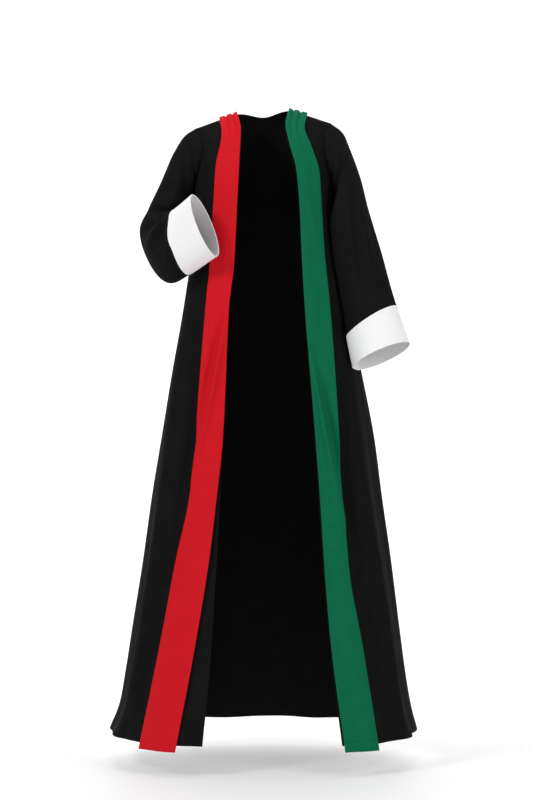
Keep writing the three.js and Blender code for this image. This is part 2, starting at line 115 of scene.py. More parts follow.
# %% Folds of the robe
FOLDS = {
    "start": [380, 700, 520, 420, 760, 500, 430, 560, 360, 610, 450],
    "top": [-52, -27, -95, 56, 33, 92, 116, 146, 172, 200, 230],
    "hem": [-80, -33, -101, 74, 42, 96, 123, 151, 177, 203, 229],
    "bend": [2.2, 1, 1, 3, 1, 1, 1.4, 1, 1.6, 1, 1.3],
    "height": [15, 9, 30, 15, 8, 27, 33, 27, 35, 24, 32],
    "width": [15, 14, 17, 14, 14, 16, 15, 13, 15, 12, 15],
}
RIPPLES = {
    "waves": [9, 14, 19, 26],
    "height": [1.1, 1.0, 0.8, 0.5],
    "phase": [0.4, 2.1, 4.0, 1.3],
    "drift": [0.0016, -0.0021, 0.0012, -0.0030],
}
FOLD_GROWTH = 1.2  # above 1, a fold starts gently
RIPPLE_START = 330
RIPPLE_GROWTH = 700  # how far below their start the ripples are full


def fold_height(angle, drop):
    """How far the folds lift the cloth off the plain section."""
    lift = np.zeros(np.broadcast(angle, drop).shape)
    for start, top, hem, bend, height, width in zip(*FOLDS.values()):
        t = np.clip((drop - start) / (LENGTH - start), 0, None)
        ridge = top + (hem - top) * t**bend
        away = np.clip(np.abs((angle - ridge + 540) % 360 - 180) / width, 0, 1)
        lift = lift + height * t**FOLD_GROWTH * np.cos(away * np.pi / 2) ** 2
    return lift


def ripple_height(angle, drop):
    """Small uneven waves, which fade in below the chest."""
    lift = np.zeros(np.broadcast(angle, drop).shape)
    for waves, height, phase, drift in zip(*RIPPLES.values()):
        lift = lift + height * np.sin(np.radians(angle) * waves + phase + drift * drop)
    return lift * np.clip((drop - RIPPLE_START) / RIPPLE_GROWTH, 0, 1)


print(len(FOLDS["start"]), "folds, highest", max(FOLDS["height"]), "mm")

# %% [markdown]
# A point of the robe is found from an angle round it, 0 at the front and 90 at the robe's own left side, and
# a level: 0 at the shoulder seam, 1 at the underarm and 2 at the hem. Above the underarm the cloth leans in
# towards the shoulder line; below it, it is a slightly squared oval with the folds on it.

# %% A point of the robe


def signed_power(v, p):
    """A power that keeps the sign, which squares an oval's corners."""
    return np.sign(v) * np.abs(v) ** p


def blend(a, b, t):
    """What lies between two values, at a share t of the way."""
    return a + (b - a) * t


def rise_of(level):
    """How far a level lies above the underarm, as an angle up to a right angle at the shoulder seam."""
    return np.radians(90 * np.clip(1 - level, 0, 1))


def drop_of(level):
    """The distance below the neck points."""
    below = UNDERARM + (LENGTH - UNDERARM) * (level - 1)
    return np.where(level >= 1, below, UNDERARM * (1 - np.sin(rise_of(level))))


def body_point(angle, level, ripples=True):
    """Points of the body's cloth, in millimetres."""
    angle, level = np.broadcast_arrays(np.asarray(angle, float), np.asarray(level, float))
    sine, cosine = np.sin(np.radians(angle)), np.cos(np.radians(angle))
    drop, rise = drop_of(level), rise_of(level)
    low = np.maximum(drop, UNDERARM)
    half = np.where(sine < 0, half_right(low), half_left(low))
    half = np.where(level >= 1, half, blend(half, SHOULDER_TIP, np.sin(rise)))
    deep = np.where(cosine > 0, depth_front(low), depth_back(low))
    lean = np.cos(rise) ** np.where(cosine > 0, CHEST_POWER, BLADE_POWER)
    lift = fold_height(angle, drop)
    if ripples:
        lift = lift + ripple_height(angle, drop)
    lift = np.where(level >= 1, lift, 0)
    x = half * signed_power(sine, SQUARE) + lift * sine
    y = -deep * signed_power(cosine, SQUARE) * lean - lift * cosine + SHOULDER_BACK * np.sin(rise)
    z = np.where(level >= 1, -drop, blend(-UNDERARM, shoulder_height(x), np.sin(rise)))
    return np.stack([x, y, z], axis=-1)


print("shoulder tip at", np.round(body_point(90, 0.0)), "underarm at", np.round(body_point(90, 1.0)))

# %% [markdown]
# What lies on the robe follows its surface, so it needs the way off the cloth at a point, and the angle at
# which the cloth lies a stated distance from the middle. That angle is found by halving the range it is in.

# %% The way off the cloth
RIGHT, LEFT = -1, 1
BESIDE = 0.4  # degrees to the neighbours that the way off is taken from
BELOW = 0.004  # levels to them
HALVINGS = 24


def body_normal(angle, level):
    """The way off the body's cloth."""
    across = body_point(angle + BESIDE, level, False) - body_point(angle - BESIDE, level, False)
    above = np.maximum(level - BELOW, 0)
    down = body_point(angle, level + BELOW, False) - body_point(angle, above, False)
    way = np.cross(down, across)
    return way / np.linalg.norm(way, axis=-1, keepdims=True)


def angle_at(x, level, side, off=0.0):
    """The angle at which the front's cloth, moved off by a height, lies x from the middle."""
    low = np.full(np.broadcast(x, level).shape, 5.0)
    high = np.full(low.shape, 85.0)
    for _ in range(HALVINGS):
        middle = (low + high) / 2
        away = np.asarray(off)[..., None] * body_normal(side * middle, level)
        point = body_point(side * middle, level, False) + away
        short = point[..., 0] * side < x
        low, high = np.where(short, middle, low), np.where(short, high, middle)
    return side * (low + high) / 2


print("way off the left underarm", np.round(body_normal(90, 1.0), 2))

# %% [markdown]
# Each sheet becomes a grid of points first. The grid's own edges give the distances that hems, seams and the
# weave need, so the weave keeps its real size on a panel that widens towards the hem. Columns crowd together
# at a sheet's edges, where the cloth is turned over and rounded.

# %% Grids of points


def crowded(count, share):
    """Places from 0 to 1 with three extra ones close to each end."""
    middle = np.linspace(share * 3, 1 - share * 3, count)
    start = np.array([0, 0.2, 0.6, 1.4]) * share
    return np.concatenate([start, middle, 1 - start[::-1]])


def along(points, axis):
    """Lengths along the grid's rows or columns, from their start."""
    steps = np.linalg.norm(np.diff(points, axis=axis), axis=2)
    start = np.zeros_like(np.take(steps, [0], axis=axis))
    return np.concatenate([start, np.cumsum(steps, axis=axis)], axis=axis)


def grid_normals(points, closed):
    """The way off a grid at each point. A closed grid's last column meets its first."""
    if closed:
        across = np.roll(points, -1, axis=1) - np.roll(points, 1, axis=1)
    else:
        across = np.gradient(points, axis=1)
    down = np.gradient(points, axis=0)
    way = np.cross(down, across)
    return way / np.maximum(np.linalg.norm(way, axis=-1, keepdims=True), 1e-9)


def smooth(t):
    """Rises gently from 0 to 1."""
    t = np.clip(t, 0, 1)
    return t * t * (3 - 2 * t)


YOKE = np.linspace(0, 1, 52)[:-1]
SKIRT = np.concatenate([np.linspace(1, 1.985, 236), [1.9885, 1.992, 1.9955, 1.998, 1.9992, 2.0]])
LEVELS = np.concatenate([YOKE, SKIRT])
print(len(LEVELS), "rows from shoulder to hem")

# %% [markdown]
# Real cloth also has creases that are no cone folds: drag lines from the armhole, the star of short creases
# in a bent elbow. Each is drawn as a line in the front view, in millimetres, and presses a soft trough into
# the sheet, or lifts a ridge where its height is positive. It fades at both of its ends.

# %% Creases
CREASE_END = 0.04  # what is left of a crease at its very end
CREASE_FADE = 0.7  # below 1, a crease keeps its height longer before it fades
TURN_AWAY = 2.5  # how quickly a crease fades where the cloth turns away from the view


def crease(points, normals, line, height, width, face=-1):
    """Moves points near a line in the front view along their normals, on the front (-1) or the back (1)."""
    line = np.array(line, float)
    flat = points[..., [0, 2]]
    lengths = np.linalg.norm(np.diff(line, axis=0), axis=1)
    total, start = lengths.sum(), 0.0
    nearest = np.full(flat.shape[:-1], 1e9)
    place = np.zeros(flat.shape[:-1])
    for a, b, length in zip(line[:-1], line[1:], lengths):
        t = np.clip(((flat - a) @ (b - a)) / length**2, 0, 1)
        away = np.linalg.norm(flat - (a + t[..., None] * (b - a)), axis=-1)
        closer = away < nearest
        nearest = np.where(closer, away, nearest)
        place = np.where(closer, (start + t * length) / total, place)
        start += length
    place = blend(CREASE_END, 1 - CREASE_END, place)
    fade = np.sin(np.pi * np.clip(place, 0, 1)) ** CREASE_FADE
    facing = smooth(normals[..., 1] * face * TURN_AWAY)
    move = height * np.exp(-((nearest / width) ** 2)) * fade * facing
    return points + normals * move[..., None]


def creased(points, rows, closed, face=-1):
    """A grid with a table's creases in it, one after the other."""
    for row in rows:
        points = crease(points, grid_normals(points, closed), face=face, **row)
    return points


print("a crease keeps", round(math.sin(math.pi * CREASE_END) ** CREASE_FADE, 2), "of its height at its ends")

# %% [markdown]
# Colours are written as the hex values one would pick from a picture and are turned to linear light in one
# place. The helper that adds a node sets its values and links in one call, which keeps a material readable.

# %% Helpers for materials


def linear(text):
    """A colour like "C8141E" as linear red, green, blue and alpha."""
    parts = [int(text[i : i + 2], 16) / 255 for i in (0, 2, 4)]
    return [v / 12.92 if v <= 0.04045 else ((v + 0.055) / 1.055) ** 2.4 for v in parts] + [1.0]


def node(tree, kind, values=None, links=None, **settings):
    """Adds a node, with its settings, its sockets' values and the sockets linked into it."""
    made = tree.nodes.new(kind)
    for key, value in settings.items():
        setattr(made, key, value)
    for key, value in (values or {}).items():
        made.inputs[key].default_value = value
    for key, source in (links or {}).items():
        tree.links.new(source, made.inputs[key])
    return made


print("darkest crepe in linear light", [round(v, 4) for v in linear("121212")[:3]])

# %% [markdown]
# Crepe is woven from hard-twisted yarn, so its face is pebbled rather than smooth and it scatters light: it
# stays matt and deep even in a studio. Its threads are about 0.4 mm apart, finer than a pixel of the picture,
# so they are drawn at 1.6 mm. The pebbles are about 3 mm. Both follow each piece's own measured UV map.
# The bands and cuffs are the same cloth in a slightly smoother, heavier weight, with a little more gloss.

# %% Crepe materials
THREAD = 0.0016
PEBBLE = 0.003
RELIEF = 0.0005
WEAVE_SHARE = 0.25  # height of the threads beside that of the pebbles
MOTTLE = 1 / 26  # clouds of the lighter shade, about 38 mm across


def crepe(name, shade, light, roughness, gloss, relief):
    """Woven polyester crepe: matt and pebbled, mottled between two close shades."""
    made = bpy.data.materials.new(name)
    made.use_nodes = True
    tree = made.node_tree
    tree.nodes.clear()
    place = node(tree, "ShaderNodeTexCoord")
    turns = 2 * math.pi / THREAD
    split = node(tree, "ShaderNodeSeparateXYZ", links={0: place.outputs["UV"]})
    warp = node(tree, "ShaderNodeMath", {1: turns}, {0: split.outputs[0]}, operation="MULTIPLY")
    weft = node(tree, "ShaderNodeMath", {1: turns}, {0: split.outputs[1]}, operation="MULTIPLY")
    warp = node(tree, "ShaderNodeMath", None, {0: warp.outputs[0]}, operation="SINE")
    weft = node(tree, "ShaderNodeMath", None, {0: weft.outputs[0]}, operation="SINE")
    over = node(tree, "ShaderNodeMath", None, {0: warp.outputs[0], 1: weft.outputs[0]}, operation="MULTIPLY")
    pebbles = node(
        tree,
        "ShaderNodeTexNoise",
        {"Scale": 1 / PEBBLE, "Detail": 2.0, "Roughness": 0.6},
        {"Vector": place.outputs["UV"]},
    )
    both = node(
        tree,
        "ShaderNodeMath",
        {1: WEAVE_SHARE},
        {0: over.outputs[0], 2: pebbles.outputs["Fac"]},
        operation="MULTIPLY_ADD",
    )
    bump = node(
        tree,
        "ShaderNodeBump",
        {"Strength": relief, "Distance": RELIEF},
        {"Height": both.outputs[0]},
    )
    cloud = node(
        tree,
        "ShaderNodeTexNoise",
        {"Scale": 1 / MOTTLE, "Detail": 4.0, "Roughness": 0.62},
        {"Vector": place.outputs["Object"]},
    )
    tone = node(tree, "ShaderNodeMix", links={"Factor": cloud.outputs["Fac"]}, data_type="RGBA")
    tone.inputs["A"].default_value = linear(shade)
    tone.inputs["B"].default_value = linear(light)
    rough = node(
        tree,
        "ShaderNodeMapRange",
        {"From Min": 0.3, "From Max": 0.7, "To Min": roughness - 0.05, "To Max": roughness + 0.05},
        {"Value": pebbles.outputs["Fac"]},
    )
    surface = node(
        tree,
        "ShaderNodeBsdfPrincipled",
        {"IOR": 1.45, "Specular IOR Level": gloss},
        {
            "Base Color": tone.outputs["Result"],
            "Roughness": rough.outputs["Result"],
            "Normal": bump.outputs["Normal"],
        },
    )
    node(tree, "ShaderNodeOutputMaterial", links={"Surface": surface.outputs["BSDF"]})
    return made


black_crepe = crepe("black_crepe", "121212", "1C1C1C", 0.80, 0.02, 0.34)
white_crepe = crepe("white_crepe", "F7F7F8", "FCFCFD", 0.80, 0.10, 0.24)
red_crepe = crepe("red_crepe", "C8151F", "D41B26", 0.74, 0.07, 0.24)
green_crepe = crepe("green_crepe", "086344", "0C6F4B", 0.74, 0.07, 0.24)
print("four crepes, threads drawn at", THREAD * 1000, "mm")

# %% [markdown]
# A grid becomes a shell with an outside, an inside and strips that join them at the edges. Its UV map is the
# flat cloth itself, in metres, so threads and pebbles have one size on every piece.

# %% Faces and measured map


def shell_faces(rows, columns, closed):
    """The four-sided faces of a shell: its outside, its inside and the strips that join them at the edges."""
    spans = columns if closed else columns - 1
    size = rows * columns
    start = np.arange(rows - 1)[:, None] * columns
    here = (start + np.arange(spans)).ravel()
    beside = (start + (np.arange(spans) + 1) % columns).ravel()
    quads = np.stack([here, here + columns, beside + columns, beside], axis=1)
    faces = [quads, quads[:, ::-1] + size]
    first = np.arange(spans)
    second = (first + 1) % columns
    last = (rows - 1) * columns
    faces.append(np.stack([first, second, second + size, first + size], axis=1))
    faces.append(np.stack([second, first, first + size, second + size], axis=1) + last)
    if not closed:
        left = np.arange(rows - 1) * columns
        right = left + columns - 1
        faces.append(np.stack([left + columns, left, left + size, left + columns + size], axis=1))
        faces.append(np.stack([right, right + columns, right + columns + size, right + size], axis=1))
    return np.concatenate(faces)


def measured_map(points, faces, closed):
    """Places on the flat cloth, in metres, for each corner of each face. On a closed tube the last column's
    faces go on past one whole round, instead of running back to the start."""
    rows, columns = points.shape[:2]
    size = rows * columns
    across, down = along(points, 1) / 1000, along(points, 0) / 1000
    flat = np.stack([across, down], axis=-1).reshape(-1, 2)
    corners = flat[(faces % size).ravel()]
    if closed:
        column = faces % size % columns
        at_seam = column.max(axis=1) == columns - 1
        wrapped = (column == 0).ravel() & np.repeat(at_seam, 4)
        last_step = np.linalg.norm(points[:, 0] - points[:, -1], axis=1) / 1000
        whole_round = np.repeat(across[:, -1] + last_step, columns)
        corners[wrapped, 0] += whole_round[(faces % size).ravel()][wrapped]
    return corners


print("a shell of 3 by 3 points has", len(shell_faces(3, 3, False)), "faces")

# %% [markdown]
# The shell gets its thickness here, rather than from a Solidify modifier, so that the thickness can vary:
# twice as much where a hem is turned up, and rounded off at a folded edge.

# %% From grid to cloth
ONE_LAYER = 0.9
HEM = (25, 1.7)
OPEN_EDGE = (12, 1.5)
TURN_STEP = 3  # over how many millimetres a turned edge's step is spread
EDGE_ROUND = 1.2  # how far in from an edge the cloth thins
EDGE_LEAST = 0.35  # what is left of its thickness at the very edge


def mean_size(points):
    """Mean width and length of a grid in metres, measured along its rows and its columns."""
    return along(points, 1)[:, -1].mean() / 1000, along(points, 0)[-1].mean() / 1000


def cloth(name, points, wall, finish, closed=False, moved=0.0):
    """A thin shell round a grid of points in millimetres. wall is one thickness or one per point."""
    normals = grid_normals(points, closed)
    points = points + normals * moved
    wall = np.broadcast_to(np.asarray(wall, float), points.shape[:2])[..., None]
    outer = (points + normals * wall / 2).reshape(-1, 3)
    inner = (points - normals * wall / 2).reshape(-1, 3)
    faces = shell_faces(*points.shape[:2], closed)
    mesh = bpy.data.meshes.new(name)
    mesh.from_pydata((np.concatenate([outer, inner]) / 1000).tolist(), [], faces.tolist())
    mesh.update()
    corners = measured_map(points, faces, closed)
    mesh.uv_layers.new(name="weave").data.foreach_set("uv", corners.ravel())
    mesh.polygons.foreach_set("use_smooth", np.ones(len(mesh.polygons), bool))
    mesh.materials.append(finish)
    piece = bpy.data.objects.new(name, mesh)
    bpy.context.scene.collection.objects.link(piece)
    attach(piece, "root")
    wide, long = mean_size(points)
    print(name, 2 * len(mesh.polygons), "triangles, about", round(wide * long, 3), "square metres")
    return piece


def thickness(points, thin, edges):
    """Thickness of a sheet. edges maps top, hem, start or end to its turned width and thickness there."""
    u, v = along(points, 1), along(points, 0)
    away = {"top": v, "hem": v[-1:] - v, "start": u, "end": u[:, -1:] - u}
    wall = np.full(points.shape[:2], float(thin))
    for edge, (turned, thick) in edges.items():
        step = smooth((turned + TURN_STEP / 2 - away[edge]) / TURN_STEP)
        wall = np.maximum(wall, thin + (thick - thin) * step)
    for edge in edges:
        inwards = np.clip(away[edge] / EDGE_ROUND, 0, 1)
        wall = wall * np.clip(np.sqrt(1 - (1 - inwards) ** 2), EDGE_LEAST, 1)
    return wall


# %% [markdown]
# The back is the largest sheet: one piece from side seam to side seam, with the armholes cut into its sides
# and the neckline into its top. It is not seen in the picture, so its folds continue those of the fronts.
# The hem is turned up by 25 mm all round and the neckline by 8 mm.

# %% Back


def armhole_angle(level, face):
    """The angle of the armhole's edge, and below the underarm that of the side seam."""
    cut = np.sin(2 * rise_of(level))
    away = -ARMHOLE_FRONT if face == "front" else ARMHOLE_BACK
    return 90 + np.where(level >= 1, 0, away * cut)


share = crowded(190, 0.0022)[None, :]
top = body_point(blend(90, 270, share), 0.0)
reach = np.clip(np.abs(top[..., 0]) / NECK_HALF, 0, 1)
neckline = 1 - blend(NAPE_RISE, 90, reach**2) / 90
level = np.where(LEVELS[:, None] < 1, blend(neckline, 1, np.minimum(LEVELS[:, None], 1)), LEVELS[:, None])
seam_angle = armhole_angle(level, "back")
back_grid = body_point(blend(seam_angle, 360 - seam_angle, share), level)
BACK_CREASES = [
    {"line": [(-150, -110), (-128, -230), (-118, -360), (-120, -520)], "height": -4, "width": 13},
    {"line": [(150, -110), (126, -240), (117, -380), (124, -560)], "height": -4, "width": 13},
    {"line": [(-60, -40), (-48, -150), (-40, -300)], "height": 2.5, "width": 14},
    {"line": [(66, -50), (52, -170), (40, -330)], "height": 2.5, "width": 14},
    {"line": [(-140, -250), (-60, -300), (10, -310)], "height": -2, "width": 12},
]
back_grid = creased(back_grid, BACK_CREASES, False, face=1)
back_wall = thickness(back_grid, ONE_LAYER, {"hem": HEM, "top": (8, 1.5)})
back = cloth("back_cloth", back_grid, back_wall, black_crepe)
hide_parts("back")

# %% [markdown]
# Each front runs from its open edge to the side seam and takes half of the armhole. The edges swing outwards
# towards the hem, and one long fold on each side runs down from the chest and turns out at the bottom.

# %% Fronts


def front_grid_of(side, edge_column):
    """A front's grid, from the side seam to the open edge or the other way round, always left to right."""
    edge_curve = through(FRONT_EDGES, "drop", edge_column)
    rows = LEVELS[:, None]
    edge = angle_at(edge_curve(drop_of(LEVELS)), LEVELS, side)[:, None]
    seam = side * armhole_angle(rows, "front")
    start, end = (seam, edge) if side == RIGHT else (edge, seam)
    return body_point(blend(start, end, crowded(104, 0.004)[None, :]), rows)


FRONT_CREASES = {
    RIGHT: [
        {"line": [(-146, -70), (-140, -150), (-143, -230), (-150, -330)], "height": -4, "width": 9},
        {"line": [(-128, -60), (-120, -150), (-126, -260), (-140, -420)], "height": 2.5, "width": 10},
        {
            "line": [(-148, -440), (-172, -770), (-214, -1050), (-250, -1240), (-290, -1430)],
            "height": -13,
            "width": 20,
        },
        {
            "line": [(-190, -540), (-212, -690), (-245, -950), (-278, -1218), (-306, -1440)],
            "height": 7,
            "width": 13,
        },
        {"line": [(-110, -900), (-116, -1130), (-130, -1400)], "height": -5, "width": 16},
        {"line": [(-90, -400), (-142, -726), (-172, -870)], "height": -12, "width": 15},
    ],
    LEFT: [
        {"line": [(144, -60), (148, -130), (154, -205), (158, -300), (166, -420)], "height": -4, "width": 9},
        {
            "line": [(168, -440), (192, -770), (200, -905), (216, -1080), (244, -1236), (276, -1430)],
            "height": -13,
            "width": 19,
        },
        {
            "line": [(196, -600), (215, -770), (260, -1038), (300, -1260), (326, -1430)],
            "height": 7,
            "width": 13,
        },
        {"line": [(240, -700), (262, -860), (290, -1040), (318, -1240)], "height": -5, "width": 11},
        {"line": [(116, -480), (165, -790), (200, -1000)], "height": -14, "width": 16},
    ],
}
for side, name, edge_column in [(RIGHT, "front_right", "right"), (LEFT, "front_left", "left")]:
    grid = creased(front_grid_of(side, edge_column), FRONT_CREASES[side], False)
    open_edge = "end" if side == RIGHT else "start"
    front_wall = thickness(grid, ONE_LAYER, {"hem": HEM, open_edge: OPEN_EDGE})
    front = cloth(name + "_cloth", grid, front_wall, black_crepe)
    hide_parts(name)

# %% [markdown]
# A sleeve is a tube lofted from the armhole through measured rings to its mouth. Each ring is a centre with
# two half axes: one to the sleeve's outer line and one to its front line. The left sleeve hangs, the right
# one is bent across the chest, and a cuff ends each tube.

# %% Rings of the sleeves
LEFT_RINGS = [
    {"centre": (185, 2, -143), "up": (4, 0, 95), "front": (0, -68, 0)},
    {"centre": (190, -4, -173), "up": (15, 0, 88), "front": (-12, -68, 2)},
    {"centre": (195, -22, -227), "up": (32, 0, 71), "front": (-24, -67, 4)},
    {"centre": (204, -44, -300), "up": (47, 0, 58), "front": (-9, -65, 7)},
    {"centre": (225, -58, -384), "up": (54, 0, 47), "front": (-4, -62, 10)},
    {"centre": (240, -64, -450), "up": (58, -2, 41), "front": (-4, -59, 13)},
    {"centre": (253, -84, -500), "up": (60, -3, 37), "front": (-4, -57, 15)},
    {"centre": (276, -104, -578), "up": (66, -4, 28), "front": (-4, -57, 16)},
]
RIGHT_RINGS = [
    {"centre": (-184, 0, -146), "up": (-2, 0, 90), "front": (0, -68, 0)},
    {"centre": (-195, -2, -168), "up": (-16, 0, 72), "front": (0, -72, 2)},
    {"centre": (-206, -4, -198), "up": (-34, 2, 34), "front": (-4, -76, 4)},
    {"centre": (-226, -6, -236), "up": (-42, 12, 4), "front": (-14, -72, 8)},
    {"centre": (-242, -24, -270), "up": (-40, 38, -22), "front": (-28, -50, 14)},
    {"centre": (-236, -54, -302), "up": (-22, 44, -62), "front": (-32, -46, 8)},
    {"centre": (-217, -92, -324), "up": (-4, 24, -82), "front": (-28, -46, 4)},
    {"centre": (-190, -127, -315), "up": (15, 5, -74), "front": (-24, -48, 2)},
    {"centre": (-134, -178, -278), "up": (27, 5, -70), "front": (-17, -45, -3)},
]
print(len(LEFT_RINGS), "rings on the left sleeve and", len(RIGHT_RINGS), "on the right, with their cuffs")

# %% [markdown]
# The rings are joined by curves that pass through each of them without swinging out between uneven distances.
# Where the tube would run into the skirt, its points are moved out to lie on it.

# %% A smooth tube through the rings
ARM_CLEARANCE = 5  # what a sleeve keeps off the body's cloth
ROUND = 132  # points round a sleeve
STEPS = 14  # rows between two rings


def knot_span(a, b):
    """The root of the distance between the knots of two rings."""
    return np.sqrt(np.linalg.norm(b - a, axis=1, keepdims=True))


def curve_through(knots, steps):
    """Centripetal Catmull-Rom curves through a stack of rings, with steps rows between two rings."""
    knots = np.concatenate([[2 * knots[0] - knots[1]], knots, [2 * knots[-1] - knots[-2]]])
    rows = []
    for i in range(1, len(knots) - 2):
        p0, p1, p2, p3 = knots[i - 1 : i + 3]
        d0, d1, d2 = knot_span(p0, p1), knot_span(p1, p2), knot_span(p2, p3)
        leave = ((p1 - p0) / d0 - (p2 - p0) / (d0 + d1) + (p2 - p1) / d1) * d1
        arrive = ((p2 - p1) / d1 - (p3 - p1) / (d1 + d2) + (p3 - p2) / d2) * d1
        square = 3 * (p2 - p1) - 2 * leave - arrive
        cube = 2 * (p1 - p2) + leave + arrive
        for t in np.arange(steps) / steps:
            rows.append(p1 + leave * t + square * t**2 + cube * t**3)
    rows.append(knots[-2])
    return np.array(rows)


def clear_of_body(points):
    """Moves a sleeve's points out of the body, where the sleeve hangs against it."""
    x, y, drop = points[..., 0], points[..., 1], -points[..., 2]
    low = np.maximum(drop, UNDERARM)
    half = np.where(x < 0, half_right(low), half_left(low))
    deep = np.where(y < 0, depth_front(low), depth_back(low))
    size = ((np.abs(x) / half) ** (2 / SQUARE) + (np.abs(y) / deep) ** (2 / SQUARE)) ** (SQUARE / 2)
    turn = np.degrees(np.arcsin(np.clip((np.abs(x) / (half * size)) ** (1 / SQUARE), 0, 1)))
    angle = np.where(x < 0, -1, 1) * np.where(y < 0, turn, 180 - turn)
    lift = np.where(drop > UNDERARM, fold_height(angle % 360, drop), 0)
    reach_now = np.hypot(x, y)
    least = reach_now / size + lift + ARM_CLEARANCE
    grow = np.where((drop > UNDERARM / 2) & (reach_now < least), least / reach_now, 1)
    return points * np.stack([grow, grow, np.ones_like(grow)], axis=-1)


def sleeve_rows(rings, side):
    """A sleeve's grid with its cuff, from the armhole to the mouth."""
    turns = np.arange(ROUND) / ROUND
    level = 1 - np.abs(1 - 2 * turns)
    face = np.where(turns <= 0.5, armhole_angle(level, "front"), armhole_angle(level, "back"))
    knots = [body_point(side * face, level)]
    turn = 2 * np.pi * turns[:, None]
    for ring in rings:
        centre, up, front = (np.array(ring[part]) for part in ("centre", "up", "front"))
        knots.append(centre + np.cos(turn) * up + np.sin(turn) * front)
    rows = curve_through(np.array(knots, float), STEPS)
    rows[1:] = clear_of_body(rows[1:])
    return rows if side == RIGHT else np.roll(rows[:, ::-1], 1, axis=1)


print("a row of a sleeve has", ROUND, "points, and", STEPS, "rows lead from ring to ring")

# %% [markdown]
# The hanging sleeve has long drag lines. The bent one has drag lines at the armhole and short, deep creases
# that gather on the inside of the elbow. A sleeve's flat area is less than its mean width times its mean
# length, because the rows crowd near the armhole, where it is widest.

# %% Sleeves
SLEEVE_CREASES = {
    RIGHT: [
        {"line": [(-196, -66), (-190, -120), (-182, -170), (-184, -215)], "height": -4, "width": 9},
        {"line": [(-214, -80), (-212, -130), (-206, -190)], "height": 3, "width": 9},
        {"line": [(-178, -60), (-173, -100), (-171, -150)], "height": 2.5, "width": 7},
        {"line": [(-228, -246), (-250, -262), (-284, -288)], "height": -9, "width": 7},
        {"line": [(-224, -262), (-238, -292), (-252, -336)], "height": -8, "width": 8},
        {"line": [(-224, -240), (-244, -232), (-276, -236)], "height": -7, "width": 6},
        {"line": [(-228, -228), (-222, -200), (-214, -168)], "height": -4, "width": 7},
        {"line": [(-212, -280), (-216, -320), (-226, -372)], "height": 6, "width": 8},
        {"line": [(-238, -270), (-256, -298), (-272, -326)], "height": 6, "width": 7},
    ],
    LEFT: [
        {"line": [(188, -150), (196, -240), (206, -340), (214, -450)], "height": 6, "width": 10},
        {"line": [(210, -170), (218, -260), (226, -350), (236, -440)], "height": -7, "width": 10},
        {"line": [(226, -200), (240, -290), (254, -380), (264, -470)], "height": 5, "width": 10},
        {"line": [(216, -140), (242, -230), (266, -320), (290, -420)], "height": -4, "width": 11},
        {"line": [(176, -70), (178, -120), (174, -180)], "height": -3, "width": 7},
    ],
}
cuff_grids = {}
for side, name, rings in [(RIGHT, "right", RIGHT_RINGS), (LEFT, "left", LEFT_RINGS)]:
    rows = creased(sleeve_rows(rings, side), SLEEVE_CREASES[side], True)
    seam_row = len(rows) - 1 - STEPS
    sleeve_grid, cuff_grids[side] = rows[: seam_row + 1], rows[seam_row:]
    sleeve = cloth(f"sleeve_{name}_cloth", sleeve_grid, ONE_LAYER, black_crepe, closed=True)
    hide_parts(f"sleeve_{name}")

# %% [markdown]
# The cuffs are a double layer of white crepe, sewn on flat at the seam and folded at the mouth. Both ends are
# a little thicker than the rest and rounded off, with a row of top stitching beside each.

# %% Cuffs
CUFF_WALL = 2.0
CUFF_OUT = 0.3  # how far a cuff is moved out from the sleeve's own line
CUFF_ENDS = {"top": (3, 2.2), "hem": (3, 2.3)}
SEAM_STITCHES = 5  # from the seam
MOUTH_STITCHES = 7  # from the mouth
CUFF_THREAD_OUT = 1.45  # from the middle of the cuff's wall
CUFF_ROWS = np.concatenate(
    [np.linspace(0, 0.03, 4)[:-1], np.linspace(0.03, 0.97, 26), np.linspace(0.97, 1, 5)[1:]]
)

cuff_lines = []
for side, name in [(RIGHT, "right"), (LEFT, "left")]:
    grid = cuff_grids[side]
    steps = CUFF_ROWS * (len(grid) - 1)
    low = np.minimum(steps.astype(int), len(grid) - 2)
    grid = blend(grid[low], grid[low + 1], (steps - low)[:, None, None])
    wall = thickness(grid, CUFF_WALL, CUFF_ENDS)
    cuff = cloth(f"cuff_{name}_cloth", grid, wall, white_crepe, closed=True, moved=CUFF_OUT)
    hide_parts(f"cuff_{name}")
    down = along(grid, 0).mean(axis=1)
    normals = grid_normals(grid, True)
    for away in (SEAM_STITCHES, down[-1] - MOUTH_STITCHES):
        row = int(np.argmin(np.abs(down - away)))
        cuff_lines.append(grid[row] + normals[row] * CUFF_THREAD_OUT)

# %% [markdown]
# The two bands hang like a stole, sewn into the shoulder seams and free below. Each keeps its two measured
# edges, so the piece is the front's own surface moved out a few millimetres. Two tucks at the top fade out on
# the chest, one long soft ridge crosses each band, and both end a little below the robe's hem.

